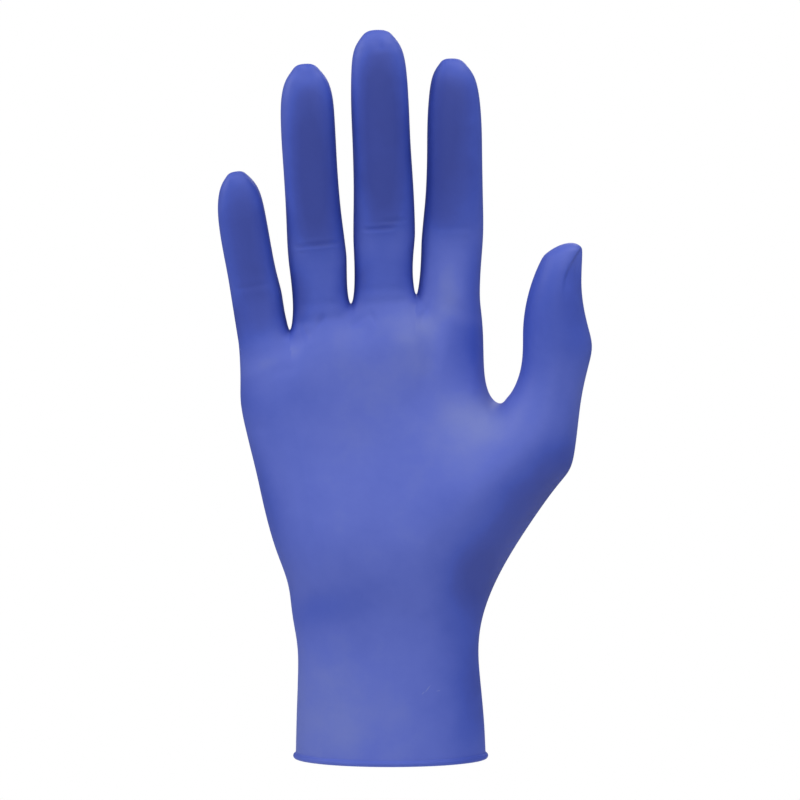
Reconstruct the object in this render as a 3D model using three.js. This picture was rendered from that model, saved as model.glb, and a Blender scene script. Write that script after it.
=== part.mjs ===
// A nitrile examination glove with a rolled cuff, in the form that a right hand gives it, and hollow.
// Millimetres. +Z runs from the cuff to the fingertips, the palm faces -Y and the thumb is on +X.
// The origin is the centre of the cuff's mouth, level with the lowest point of its rolled bead.
// The whole glove is one dipped film, so it is one solid: palm, thumb, four fingers, cuff and bead.

import * as THREE from "three";

// The film and its rolled bead.
const WALL = 1;
const BEAD_DIAMETER = 2.2;

// The cuff, the wrist and the palm: widths across X, and depths in front of and behind the plane of
// the hand.
const CUFF_WIDTH = 62.6;
const CUFF_FRONT = 20.5;
const CUFF_BACK = 21.5;
const WRIST_WIDTH = 59.6;
const WRIST_FRONT = 18.5;
const WRIST_BACK = 19.5;
const PALM_FRONT = 18;
const PALM_BACK = 15;

// Heights above the cuff's mouth: the web between the ring and middle fingers, and the crotch of the
// thumb as a share of it. The row of knuckles is centred a little to the left of the cuff.
const WEB_HEIGHT = 148;
const CROTCH_SHARE = 0.79;
const KNUCKLE_CENTRE = -10.7;
const WEB_GAP = 1.2;

// The middle finger, and how far its tip curls forward out of the plane of the hand.
const FINGER_WIDTH = 19.8;
const FINGER_LENGTH = 88;
const FINGER_THICKNESS = 18;
const FINGER_CURL = 18;

// The thumb: how far it reaches out of the palm's edge, how high it rises above its crotch, how far
// its root runs down from there, its thickness at the knuckle and the forward lean of its tip.
const THUMB_REACH = 36.5;
const THUMB_RISE = 52;
const THUMB_ROOT = 66;
const THUMB_THICKNESS = 21;
const THUMB_FORWARD = 19;

// The fingers in shares of the middle one, from the little one to the index, and their lean in
// degrees from +Z.
const FINGERS = [
  { name: "little", width: 0.843, length: 0.613, thick: 0.83, curl: 0.53, lean: -8.6 },
  { name: "ring", width: 0.955, length: 0.957, thick: 0.944, curl: 0.93, lean: -3.1 },
  { name: "middle", width: 1, length: 1.013, thick: 1, curl: 1, lean: -1.2 },
  { name: "index", width: 1.02, length: 0.886, thick: 1, curl: 0.87, lean: 0.8 },
];

// The web on the left of each finger and, last, the edge on the right of the index, in shares of the
// web's height.
const WEBS = [0.939, 0.936, 0.983, 1.013, 1.014];

// Each row is a section of a finger, in shares of that finger: `at` is how far it is from web to tip,
// `left` and `right` are its edges, and `curl` is how much of the tip's curl it has.
const FINGER_SECTIONS = {
  little: [
    { at: 0, left: 0.5, right: 0.5, thick: 1.08, curl: 0 },
    { at: 0.2, left: 0.505, right: 0.505, thick: 1, curl: 0.03 },
    { at: 0.3, left: 0.505, right: 0.475, thick: 1.01, curl: 0.09 },
    { at: 0.4, left: 0.505, right: 0.445, thick: 0.99, curl: 0.21 },
    { at: 0.6, left: 0.52, right: 0.43, thick: 0.97, curl: 0.5 },
    { at: 0.7, left: 0.515, right: 0.425, thick: 0.95, curl: 0.65 },
    { at: 0.8, left: 0.485, right: 0.41, thick: 0.9, curl: 0.79 },
    { at: 0.88, left: 0.42, right: 0.37, thick: 0.8, curl: 0.89 },
    { at: 0.94, left: 0.325, right: 0.27, thick: 0.66, curl: 0.95 },
    { at: 1, left: 0.14, right: 0.1, thick: 0.3, curl: 1 },
  ],
  ring: [
    { at: 0, left: 0.48, right: 0.505, thick: 1.1, curl: 0 },
    { at: 0.15, left: 0.475, right: 0.51, thick: 1.02, curl: 0.015 },
    { at: 0.26, left: 0.5, right: 0.515, thick: 1.03, curl: 0.035 },
    { at: 0.32, left: 0.505, right: 0.5, thick: 1.03, curl: 0.1 },
    { at: 0.45, left: 0.49, right: 0.46, thick: 0.98, curl: 0.29 },
    { at: 0.6, left: 0.485, right: 0.445, thick: 0.96, curl: 0.52 },
    { at: 0.75, left: 0.485, right: 0.45, thick: 0.91, curl: 0.75 },
    { at: 0.87, left: 0.45, right: 0.44, thick: 0.82, curl: 0.9 },
    { at: 0.94, left: 0.36, right: 0.36, thick: 0.66, curl: 0.955 },
    { at: 1, left: 0.13, right: 0.13, thick: 0.3, curl: 1 },
  ],
  middle: [
    { at: 0, left: 0.505, right: 0.51, thick: 1.1, curl: 0 },
    { at: 0.15, left: 0.48, right: 0.51, thick: 1.02, curl: 0.015 },
    { at: 0.25, left: 0.48, right: 0.55, thick: 1.03, curl: 0.035 },
    { at: 0.31, left: 0.473, right: 0.555, thick: 1.03, curl: 0.1 },
    { at: 0.45, left: 0.45, right: 0.54, thick: 0.98, curl: 0.31 },
    { at: 0.6, left: 0.45, right: 0.505, thick: 0.96, curl: 0.53 },
    { at: 0.75, left: 0.46, right: 0.49, thick: 0.91, curl: 0.75 },
    { at: 0.87, left: 0.435, right: 0.455, thick: 0.82, curl: 0.9 },
    { at: 0.94, left: 0.38, right: 0.385, thick: 0.66, curl: 0.955 },
    { at: 1, left: 0.16, right: 0.16, thick: 0.3, curl: 1 },
  ],
  index: [
    { at: 0, left: 0.505, right: 0.515, thick: 1.12, curl: 0 },
    { at: 0.12, left: 0.475, right: 0.525, thick: 1.05, curl: 0 },
    { at: 0.26, left: 0.447, right: 0.557, thick: 1.04, curl: 0.01 },
    { at: 0.33, left: 0.427, right: 0.56, thick: 1.03, curl: 0.07 },
    { at: 0.45, left: 0.39, right: 0.54, thick: 0.98, curl: 0.26 },
    { at: 0.6, left: 0.38, right: 0.515, thick: 0.96, curl: 0.5 },
    { at: 0.75, left: 0.385, right: 0.49, thick: 0.91, curl: 0.74 },
    { at: 0.87, left: 0.355, right: 0.43, thick: 0.8, curl: 0.89 },
    { at: 0.94, left: 0.3, right: 0.34, thick: 0.65, curl: 0.95 },
    { at: 1, left: 0.13, right: 0.12, thick: 0.3, curl: 1 },
  ],
};

// Each row is a section of the thumb, from its root in the palm's edge to its tip. The inner edge
// faces the index finger. The `Out` columns are shares of the reach, and the `Up` columns are shares
// of the rise above the crotch where they are positive and of the root below it where they are not.
const THUMB_SECTIONS = [
  { at: 0, innerOut: 0.05, innerUp: 0, outerOut: 0, outerUp: -0.95, thick: 1.35, lean: 0.1 },
  { at: 0.07, innerOut: 0.11, innerUp: -0.012, outerOut: 0.233, outerUp: -0.805, thick: 1.35, lean: 0.15 },
  { at: 0.14, innerOut: 0.15, innerUp: -0.012, outerOut: 0.362, outerUp: -0.683, thick: 1.33, lean: 0.23 },
  { at: 0.22, innerOut: 0.183, innerUp: -0.01, outerOut: 0.49, outerUp: -0.57, thick: 1.3, lean: 0.32 },
  { at: 0.3, innerOut: 0.21, innerUp: 0.005, outerOut: 0.68, outerUp: -0.455, thick: 1.26, lean: 0.4 },
  { at: 0.385, innerOut: 0.236, innerUp: 0.024, outerOut: 0.865, outerUp: -0.34, thick: 1.22, lean: 0.48 },
  { at: 0.46, innerOut: 0.288, innerUp: 0.07, outerOut: 0.87, outerUp: -0.215, thick: 1.17, lean: 0.55 },
  { at: 0.53, innerOut: 0.332, innerUp: 0.135, outerOut: 0.88, outerUp: -0.07, thick: 1.11, lean: 0.61 },
  { at: 0.6, innerOut: 0.364, innerUp: 0.214, outerOut: 0.91, outerUp: 0.078, thick: 1.05, lean: 0.68 },
  { at: 0.67, innerOut: 0.378, innerUp: 0.312, outerOut: 0.96, outerUp: 0.23, thick: 1.01, lean: 0.75 },
  { at: 0.735, innerOut: 0.375, innerUp: 0.428, outerOut: 1.002, outerUp: 0.354, thick: 1, lean: 0.81 },
  { at: 0.795, innerOut: 0.381, innerUp: 0.515, outerOut: 0.948, outerUp: 0.475, thick: 0.97, lean: 0.86 },
  { at: 0.86, innerOut: 0.411, innerUp: 0.65, outerOut: 0.896, outerUp: 0.64, thick: 0.91, lean: 0.92 },
  { at: 0.915, innerOut: 0.463, innerUp: 0.767, outerOut: 0.889, outerUp: 0.765, thick: 0.83, lean: 0.95 },
  { at: 0.96, innerOut: 0.523, innerUp: 0.872, outerOut: 0.893, outerUp: 0.87, thick: 0.66, lean: 0.98 },
  { at: 1, innerOut: 0.65, innerUp: 0.965, outerOut: 0.86, outerUp: 0.97, thick: 0.3, lean: 1 },
];

// Each row is a level section of the cuff, wrist or palm. `up` is the share of the web's height,
// `left` and `right` are edges in shares of the half width that `of` names, counted from its middle,
// and `front` and `back` are depths in shares of those of the same name. At 1, `oval` makes a plain
// ellipse, and less makes it boxier.
const PALM_SECTIONS = [
  { up: 0, of: "cuff", left: -1, right: 1, front: 1, back: 1, oval: 1 },
  { up: 0.095, of: "cuff", left: -0.99, right: 0.98, front: 0.92, back: 0.96, oval: 0.98 },
  { up: 0.17, of: "wrist", left: -1, right: 1.03, front: 0.96, back: 1.03, oval: 0.95 },
  { up: 0.25, of: "wrist", left: -1, right: 1.02, front: 0.91, back: 1, oval: 0.92 },
  { up: 0.315, of: "wrist", left: -1.06, right: 0.93, front: 0.94, back: 0.98, oval: 0.9 },
  { up: 0.388, of: "knuckles", left: -0.58, right: 0.95, front: 1.1, back: 1.2, oval: 0.87 },
  { up: 0.468, of: "knuckles", left: -0.69, right: 0.98, front: 1.18, back: 1.12, oval: 0.85 },
  { up: 0.544, of: "knuckles", left: -0.77, right: 0.98, front: 1.14, back: 1.06, oval: 0.85 },
  { up: 0.634, of: "knuckles", left: -0.845, right: 0.98, front: 1.06, back: 1.02, oval: 0.85 },
  { up: 0.715, of: "knuckles", left: -0.92, right: 0.98, front: 0.97, back: 1, oval: 0.84 },
  { up: 0.79, of: "knuckles", left: -0.978, right: 0.915, front: 0.88, back: 0.98, oval: 0.82 },
  { up: 0.836, of: "knuckles", left: -0.975, right: 1.085, front: 0.82, back: 0.96, oval: 0.8 },
  { up: 0.886, of: "knuckles", left: -0.978, right: 1.115, front: 0.78, back: 0.92, oval: 0.78 },
  { up: 0.936, of: "knuckles", left: -0.99, right: 1.075, front: 0.74, back: 0.85, oval: 0.78 },
  { up: 1.027, of: "knuckles", left: -1, right: 1.025, front: 0.6, back: 0.66, oval: 0.78 },
];

// How far a swelling of the palm's front reaches, and how high it stands. Each row is a swelling, or a
// hollow where its height is negative. `across` is its middle in shares of the knuckles' half width from
// their middle, `up` is in shares of the web's height, and `turn` is how far its length is turned from
// +X in degrees. `long` and `wide` are shares of the reach, and `height` is a share of the height.
const SWELLING_REACH = 20;
const SWELLING_HEIGHT = 4;
const SWELLINGS = [
  { what: "ball of the thumb", across: 0.9, up: 0.6, long: 1.1, wide: 1.3, turn: 0, height: 0.75 },
  { what: "film from the palm to the thumb", across: 0.87, up: 0.6, long: 0.55, wide: 1.5, turn: 0, height: 1.375 },
  { what: "ridge up to the thumb's joint", across: 1.2, up: 0.63, long: 1.5, wide: 0.65, turn: 42, height: 1 },
  { what: "hollow under the thumb's ball", across: 0.95, up: 0.36, long: 0.6, wide: 0.55, turn: 0, height: -0.625 },
  { what: "heel of the hand", across: -0.34, up: 0.46, long: 0.8, wide: 1.1, turn: 0, height: 0.75 },
  { what: "hollow of the palm", across: 0.12, up: 0.7, long: 0.85, wide: 0.9, turn: 0, height: -0.625 },
  { what: "pad below the index's web", across: 0.42, up: 0.925, long: 0.45, wide: 0.4, turn: 0, height: 0.55 },
  { what: "pad below the middle web", across: -0.06, up: 0.905, long: 0.45, wide: 0.4, turn: 0, height: 0.5 },
  { what: "pad below the little finger", across: -0.52, up: 0.86, long: 0.45, wide: 0.4, turn: 0, height: 0.4 },
];

// How the skin is divided: faces across a finger's front and through its depth, the rows up a finger
// in shares of it, closer at its middle joint and its tip, and rows up the palm.
const FRONT_FACES = 5;
const SIDE_FACES = 4;
const FINGER_ROWS = [0, 0.1, 0.19, 0.26, 0.32, 0.42, 0.54, 0.66, 0.77, 0.86, 0.925, 0.972];
const THUMB_ROWS = 13;
const WRIST_ROWS = 7;
const ROOT_ROWS = 8;
const KNUCKLE_ROWS = 4;
const ROOT_MARGIN_FACES = 1;
const BEAD_FACES = 8;

const points = [];
const faces = [];

const add = (point) => points.push(point) - 1;
const lerp = THREE.MathUtils.lerp;

// A smooth function of one column's share that runs through every row of a table.
function curvesThrough(table, share, columns) {
  const shares = table.map((row) => row[share]);
  const values = table.flatMap((row) => columns.map((column) => row[column]));
  const curve = new THREE.CubicInterpolant(shares, values, columns.length);
  return (at) => Object.fromEntries(columns.map((column, i) => [column, curve.evaluate(at)[i]]));
}

// The points of a tube's section, from the front left corner round the front, right, back and left.
// `left` and `right` are its edges and `front` is the vector from its middle to its front.
function sectionRing({ left, right, front }, across, through) {
  const count = 2 * (across + through);
  const step = (2 * Math.PI) / count;
  const middle = left.clone().add(right).multiplyScalar(0.5);
  const half = right.clone().sub(middle);
  return Array.from({ length: count }, (_, i) => {
    const angle = step * (through / 2 + i);
    return middle.clone().addScaledVector(half, -Math.cos(angle)).addScaledVector(front, Math.sin(angle));
  });
}

// Joins two rings of point numbers with a band of faces.
function band(lower, upper) {
  lower.forEach((a, i) => {
    const next = (i + 1) % lower.length;
    faces.push([a, lower[next], upper[next], upper[i]]);
  });
}

// Closes a ring with a dome of faces, as high as `rise`.
function dome(ring, across, through, rise) {
  const corner = ring.length;
  const at = (i, j) => points[grid[i][j]];
  const grid = Array.from({ length: across + 1 }, (_, i) =>
    Array.from({ length: through + 1 }, (_, j) => {
      if (j === 0) return ring[i];
      if (i === across) return ring[across + j];
      if (j === through) return ring[2 * across + through - i];
      if (i === 0) return ring[corner - j];
      return null;
    }),
  );
  for (let i = 1; i < across; i++)
    for (let j = 1; j < through; j++) {
      const [u, v] = [i / across, j / through];
      const flat = at(i, 0).clone().lerp(at(i, through), v);
      flat.add(at(0, j).clone().lerp(at(across, j), u));
      const near = at(0, 0).clone().lerp(at(across, 0), u);
      const far = at(0, through).clone().lerp(at(across, through), u);
      flat.sub(near.lerp(far, v));
      const [wide, deep] = [(2 * u - 1) ** 2, (2 * v - 1) ** 2];
      grid[i][j] = add(flat.addScaledVector(rise, Math.sqrt(1 - wide - deep / 2 + (wide * deep) / 2)));
    }
  for (let i = 0; i < across; i++)
    for (let j = 0; j < through; j++)
      faces.push([grid[i][j], grid[i + 1][j], grid[i + 1][j + 1], grid[i][j + 1]]);
}

// The crotch's height, the width of the row of knuckles, the left edge of each finger's base and the
// palm's right edge.
const crotch = CROTCH_SHARE * WEB_HEIGHT;
const widthUpTo = (i) =>
  FINGERS.slice(0, i).reduce((sum, finger) => sum + finger.width * FINGER_WIDTH + WEB_GAP, 0);
const knuckleWidth = widthUpTo(FINGERS.length) - WEB_GAP;
const bases = FINGERS.map((_, i) => KNUCKLE_CENTRE - knuckleWidth / 2 + widthUpTo(i));
const palmEdge = KNUCKLE_CENTRE + knuckleWidth / 2;

// The section of a finger at a share of its length.
function fingerSection(finger, baseLeft, leftWeb, rightWeb) {
  const width = finger.width * FINGER_WIDTH;
  const along = curvesThrough(FINGER_SECTIONS[finger.name], "at", ["left", "right", "thick", "curl"]);
  const angle = THREE.MathUtils.degToRad(finger.lean);
  const up = new THREE.Vector3(Math.sin(angle), 0, Math.cos(angle));
  const side = new THREE.Vector3(Math.cos(angle), 0, -Math.sin(angle));
  const base = new THREE.Vector3(baseLeft + width / 2, 0, (leftWeb + rightWeb) / 2);
  const edge = (at, shift, rise) =>
    base
      .clone()
      .addScaledVector(up, at * finger.length * FINGER_LENGTH + rise * Math.max(0, 1 - at / 0.3))
      .addScaledVector(side, shift * width)
      .add(new THREE.Vector3(0, -finger.curl * FINGER_CURL * along(at).curl, 0));
  const middle = (at) => edge(at, (along(at).right - along(at).left) / 2, 0);
  const slant = (rightWeb - leftWeb) / 2;
  return (at) => {
    const row = along(at);
    const run = middle(Math.min(at + 0.05, 1)).sub(middle(Math.max(at - 0.05, 0)));
    const front = run.cross(side).normalize();
    front.multiplyScalar((-row.thick * finger.thick * FINGER_THICKNESS) / 2);
    return { left: edge(at, -row.left, -slant), right: edge(at, row.right, slant), front };
  };
}

// The section of the thumb at a share of its length from root to tip.
function thumbSection() {
  const columns = ["innerOut", "innerUp", "outerOut", "outerUp", "thick", "lean"];
  const along = curvesThrough(THUMB_SECTIONS, "at", columns);
  const place = (out, up, lean) => {
    const height = crotch + up * (up > 0 ? THUMB_RISE : THUMB_ROOT);
    return new THREE.Vector3(palmEdge + out * THUMB_REACH, -lean * THUMB_FORWARD, height);
  };
  const edges = (at) => {
    const row = along(at);
    return [place(row.innerOut, row.innerUp, row.lean), place(row.outerOut, row.outerUp, row.lean)];
  };
  const middle = (at) => edges(at)[0].add(edges(at)[1]).multiplyScalar(0.5);
  return (at) => {
    const [left, right] = edges(at);
    const run = middle(Math.min(at + 0.05, 1)).sub(middle(Math.max(at - 0.05, 0)));
    const front = run.cross(right.clone().sub(left)).normalize();
    return { left, right, front: front.multiplyScalar((-along(at).thick * THUMB_THICKNESS) / 2) };
  };
}

// A finger or thumb: rings of points at shares of its length, from one that exists to a dome at its
// tip.
function tube(root, section, shares, across, through) {
  let lower = root;
  for (const at of shares.slice(1)) {
    const upper = sectionRing(section(at), across, through).map(add);
    band(lower, upper);
    lower = upper;
  }
  const rim = section(shares.at(-1));
  const tip = section(1);
  const rise = tip.left.add(tip.right).sub(rim.left).sub(rim.right).multiplyScalar(0.5);
  dome(lower, across, through, rise);
}

// The fingers, from their webs up.
const fingerRings = FINGERS.map((finger, i) => {
  const section = fingerSection(finger, bases[i], WEBS[i] * WEB_HEIGHT, WEBS[i + 1] * WEB_HEIGHT);
  const ring = sectionRing(section(0), FRONT_FACES, SIDE_FACES).map(add);
  tube(ring, section, FINGER_ROWS, FRONT_FACES, SIDE_FACES);
  return ring;
});

// The webs between the fingers, one strip of faces each from front to back.
fingerRings.slice(1).forEach((right, i) => {
  const left = fingerRings[i];
  for (let j = 0; j < SIDE_FACES; j++) {
    const [near, far] = [(right.length - j) % right.length, right.length - j - 1];
    faces.push([left[FRONT_FACES + j], right[near], right[far], left[FRONT_FACES + j + 1]]);
  }
});

// The palm's top ring, which runs through the bases of the fingers.
const backStart = FRONT_FACES + SIDE_FACES;
const topRing = [
  ...fingerRings.flatMap((ring) => ring.slice(0, FRONT_FACES + 1)),
  ...fingerRings.at(-1).slice(FRONT_FACES + 1, backStart),
  ...[...fingerRings].reverse().flatMap((ring) => ring.slice(backStart, backStart + FRONT_FACES + 1)),
  ...fingerRings[0].slice(backStart + FRONT_FACES + 1),
];
const frontCount = FINGERS.length * (FRONT_FACES + 1);

// Where each column of the palm stands round a level section, as an angle from the left edge.
const frontAngles = topRing.slice(0, frontCount).map((i) => {
  const share = (points[i].x - KNUCKLE_CENTRE) / (knuckleWidth / 2);
  return Math.acos(-THREE.MathUtils.clamp(share, -0.98, 0.98));
});
const columnAngles = topRing.map((_, i) => {
  if (i < frontCount) return frontAngles[i];
  if (i < frontCount + SIDE_FACES - 1) {
    const last = frontAngles[frontCount - 1];
    return lerp(last, 2 * Math.PI - last, (i - frontCount + 1) / SIDE_FACES);
  }
  const back = i - (frontCount + SIDE_FACES - 1);
  if (back < frontCount) return 2 * Math.PI - frontAngles[frontCount - 1 - back];
  return lerp(-frontAngles[0], frontAngles[0], (back - frontCount + 1) / SIDE_FACES) + 2 * Math.PI;
});

// The edges and depths of the palm at a height, in millimetres.
const SPANS = {
  cuff: { middle: 0, half: CUFF_WIDTH / 2, front: CUFF_FRONT, back: CUFF_BACK },
  wrist: { middle: -0.8, half: WRIST_WIDTH / 2, front: WRIST_FRONT, back: WRIST_BACK },
  knuckles: { middle: KNUCKLE_CENTRE, half: knuckleWidth / 2, front: PALM_FRONT, back: PALM_BACK },
};
const palmAt = curvesThrough(
  PALM_SECTIONS.map(({ up, of, left, right, front, back, oval }) => ({
    height: up * WEB_HEIGHT,
    left: SPANS[of].middle + left * SPANS[of].half,
    right: SPANS[of].middle + right * SPANS[of].half,
    front: front * SPANS[of].front,
    back: back * SPANS[of].back,
    oval,
  })),
  "height",
  ["left", "right", "front", "back", "oval"],
);
const bulge = (value, oval) => Math.sign(value) * Math.abs(value) ** oval;

function palmPoint(column, height) {
  const { left, right, front, back, oval } = palmAt(height);
  const angle = columnAngles[column];
  const depth = Math.sin(angle) > 0 ? front : back;
  const x = (left + right) / 2 - (bulge(Math.cos(angle), oval) * (right - left)) / 2;
  return new THREE.Vector3(x, -bulge(Math.sin(angle), oval) * depth, height);
}

// The palm's rows from the cuff up: level ones to the crotch, and then ones that rise to the webs.
const rootBottom = crotch - THUMB_ROOT;
const levels = [
  ...Array.from({ length: WRIST_ROWS }, (_, i) => lerp(BEAD_DIAMETER, rootBottom, i / WRIST_ROWS)),
  ...Array.from({ length: ROOT_ROWS + 1 }, (_, i) => lerp(rootBottom, crotch, i / ROOT_ROWS)),
];
const palmRings = levels.map((height) => topRing.map((_, i) => add(palmPoint(i, height))));
for (let row = 1; row < KNUCKLE_ROWS; row++) {
  const share = row / KNUCKLE_ROWS;
  palmRings.push(
    topRing.map((top, i) => {
      const height = lerp(crotch, points[top].z, share);
      return add(palmPoint(i, height).lerp(points[top], share ** 2));
    }),
  );
}
palmRings.push(topRing);

// The thumb's root is a window in the palm's edge, as wide as the edge and a margin on each side.
const windowLeft = frontCount - 1 - ROOT_MARGIN_FACES;
const windowRight = frontCount + SIDE_FACES - 1 + ROOT_MARGIN_FACES;
const windowBottom = WRIST_ROWS;
const windowTop = WRIST_ROWS + ROOT_ROWS;
palmRings.slice(1).forEach((upper, row) =>
  upper.forEach((_, i) => {
    const inWindow = row >= windowBottom && row < windowTop && i >= windowLeft && i < windowRight;
    const next = (i + 1) % upper.length;
    if (!inWindow) faces.push([palmRings[row][i], palmRings[row][next], upper[next], upper[i]]);
  }),
);
const windowAcross = ROOT_ROWS;
const windowThrough = windowRight - windowLeft;
const side = (count, at) => Array.from({ length: count }, (_, i) => at(i));
const thumbRoot = [
  ...side(windowAcross, (i) => palmRings[windowTop - i][windowLeft]),
  ...side(windowThrough, (i) => palmRings[windowBottom][windowLeft + i]),
  ...side(windowAcross, (i) => palmRings[windowBottom + i][windowRight]),
  ...side(windowThrough, (i) => palmRings[windowTop][windowRight - i]),
];
const thumbRows = Array.from({ length: THUMB_ROWS }, (_, i) => {
  const row = i / THUMB_ROWS;
  return lerp(row, Math.sin((Math.PI / 2) * row), 0.5);
});
tube(thumbRoot, thumbSection(), thumbRows, windowAcross, windowThrough);

// Smooths the film where tubes join, as a stretched film spans a valley: each point within `reach`
// edges of a join moves towards the middle of its neighbours, less the further off it is.
const neighbours = points.map(() => new Set());
for (const face of faces)
  face.forEach((a, i) => {
    const b = face[(i + 1) % 4];
    neighbours[a].add(b);
    neighbours[b].add(a);
  });

function relax(seeds, reach, rounds) {
  const steps = new Map(seeds.map((i) => [i, 0]));
  for (const [i, step] of steps)
    for (const j of step < reach ? neighbours[i] : []) if (!steps.has(j)) steps.set(j, step + 1);
  for (let round = 0; round < rounds; round++) {
    const moved = [...steps].map(([i, step]) => {
      const middle = new THREE.Vector3();
      for (const j of neighbours[i]) middle.addScaledVector(points[j], 1 / neighbours[i].size);
      return [i, points[i].clone().lerp(middle, 0.5 * (1 - step / (reach + 1)))];
    });
    moved.forEach(([i, point]) => points[i].copy(point));
  }
}

relax(thumbRoot, 5, 12);
fingerRings.slice(1).forEach((right, i) => {
  const left = fingerRings[i];
  relax([...left.slice(FRONT_FACES, backStart + 1), ...right.slice(backStart + FRONT_FACES), right[0]], 2, 4);
});

// The outward normal at each point of the skin.
function normals() {
  const sums = points.map(() => new THREE.Vector3());
  faces.forEach(([a, b, c, d]) => {
    const across = points[c].clone().sub(points[a]);
    const normal = across.cross(points[d].clone().sub(points[b]));
    [a, b, c, d].forEach((i) => sums[i].add(normal));
  });
  return sums.map((sum) => sum.normalize());
}

// The swellings push the palm's front forward.
normals().forEach((normal, i) => {
  const facing = THREE.MathUtils.smoothstep(-normal.y, 0, 0.9);
  SWELLINGS.forEach(({ across, up, long, wide, turn, height }) => {
    const right = points[i].x - KNUCKLE_CENTRE - (across * knuckleWidth) / 2;
    const above = points[i].z - up * WEB_HEIGHT;
    const angle = THREE.MathUtils.degToRad(turn);
    const run = right * Math.cos(angle) + above * Math.sin(angle);
    const aside = above * Math.cos(angle) - right * Math.sin(angle);
    const along = run / (long * SWELLING_REACH);
    const beside = aside / (wide * SWELLING_REACH);
    points[i].y -= facing * height * SWELLING_HEIGHT * Math.exp(-(along ** 2) - beside ** 2);
  });
});

// The inside of the film, one wall behind its outside, and the bead that joins them at the cuff.
const outerCount = points.length;
const outerFaces = faces.length;
const skinNormals = normals();
for (let i = 0; i < outerCount; i++) add(points[i].clone().addScaledVector(skinNormals[i], -WALL));
for (let i = 0; i < outerFaces; i++) faces.push([...faces[i]].reverse().map((j) => j + outerCount));

const cuffRing = palmRings[0];
const innerRing = cuffRing.map((i) => i + outerCount);
const beadRadius = BEAD_DIAMETER / 2;
cuffRing.forEach((i) => (points[i + outerCount].z = points[i].z));
let upper = cuffRing;
for (let turn = 1; turn < BEAD_FACES; turn++) {
  const angle = Math.PI / 2 - ((1.5 * Math.PI) * turn) / BEAD_FACES;
  const lower = cuffRing.map((i) => {
    const out = new THREE.Vector3(skinNormals[i].x, skinNormals[i].y, 0).normalize();
    const point = points[i].clone().addScaledVector(out, beadRadius - WALL + beadRadius * Math.cos(angle));
    return add(point.setZ(beadRadius * (1 + Math.sin(angle))));
  });
  band(lower, upper);
  upper = lower;
}
band(innerRing, upper);

// Each face becomes two triangles, split along its shorter diagonal.
const triangles = faces.flatMap(([a, b, c, d]) =>
  points[a].distanceTo(points[c]) < points[b].distanceTo(points[d]) ? [a, b, c, a, c, d] : [a, b, d, b, c, d],
);
const geometry = new THREE.BufferGeometry();
geometry.setAttribute("position", new THREE.Float32BufferAttribute(points.flatMap((p) => p.toArray()), 3));
geometry.setIndex(triangles);
geometry.computeVertexNormals();

const nitrile = new THREE.MeshStandardMaterial({ color: 0x4c5bb0, roughness: 0.5, metalness: 0 });
const glove = new THREE.Mesh(geometry, nitrile);
glove.name = "glove";

const hand = new THREE.Group();
hand.add(glove);

export default hand;
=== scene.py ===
"""A thin nitrile examination glove in the form that a right hand gives it, upright, seen from its palm.

Lengths are millimetres until a mesh is made. +Z runs from the cuff to the fingertips, the palm faces
-Y and the thumb is on +X. The skin is one coarse cage of four-sided faces, which a subdivision
surface rounds off, and the folds, creases and puckers of the film are then pressed into it. How far
the film pales at each place is kept with the mesh, and the film's colour follows it: partly where
the hand pulls the film thin, and partly painted light and painted shade.
"""

import math

import bpy
import numpy as np
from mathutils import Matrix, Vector


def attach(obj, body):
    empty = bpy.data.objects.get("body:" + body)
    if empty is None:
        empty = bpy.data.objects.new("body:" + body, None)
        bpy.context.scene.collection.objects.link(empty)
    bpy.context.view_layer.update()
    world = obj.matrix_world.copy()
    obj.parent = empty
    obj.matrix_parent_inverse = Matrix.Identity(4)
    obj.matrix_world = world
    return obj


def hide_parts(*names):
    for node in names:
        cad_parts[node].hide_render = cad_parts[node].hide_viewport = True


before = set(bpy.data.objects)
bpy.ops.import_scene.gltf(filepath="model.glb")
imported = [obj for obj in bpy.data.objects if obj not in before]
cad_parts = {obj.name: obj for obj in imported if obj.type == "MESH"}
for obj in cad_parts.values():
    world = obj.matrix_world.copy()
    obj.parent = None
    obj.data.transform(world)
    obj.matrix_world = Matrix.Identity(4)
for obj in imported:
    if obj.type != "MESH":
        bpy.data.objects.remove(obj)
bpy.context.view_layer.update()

MM = 0.001

# The wall between the outside and the lining, the rolled bead with the neck above it, and how far up
# the bead's inner wall laps over the lining.
WALL = 1
BEAD_DIAMETER = 1.9
BEAD_NECK = 0.8
BEAD_LAP = 2

# Widths across X, and depths in front of and behind the plane of the hand.
CUFF = {"middle": 0, "half": 31.3, "front": 20.5, "back": 21.5}
WRIST = {"middle": -0.8, "half": 29.8, "front": 18.5, "back": 19.5}
PALM_DEPTHS = {"front": 18, "back": 15}

# The height that the webs and the crotch of the thumb are shares of, the middle of the row of
# knuckles, and the gap between two fingers at their web.
WEB_HEIGHT = 148
CROTCH = 0.79 * WEB_HEIGHT
KNUCKLE_CENTRE = -10.7
WEB_GAP = 1.2

# The middle finger, and the thumb's reach, rise, root, thickness and forward lean.
FINGER = {"width": 19.8, "length": 88, "thick": 18, "curl": 18}
THUMB = {"reach": 36.5, "rise": 52, "root": 66, "thick": 21, "forward": 19}

# Shares of the middle finger, and the lean from +Z in degrees.
FINGER_COLUMNS = ("width", "length", "thick", "curl", "lean")
FINGERS = {
    "little": (0.843, 0.613, 0.83, 0.53, -8.6),
    "ring": (0.955, 0.957, 0.944, 0.93, -3.1),
    "middle": (1, 1.013, 1, 1, -1.2),
    "index": (1.02, 0.886, 1, 0.87, 0.8),
}

# The web on the left of each finger and, last, the edge on the right of the index, in shares of the
# web's height.
WEBS = (0.939, 0.936, 0.983, 1.013, 1.014)

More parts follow.
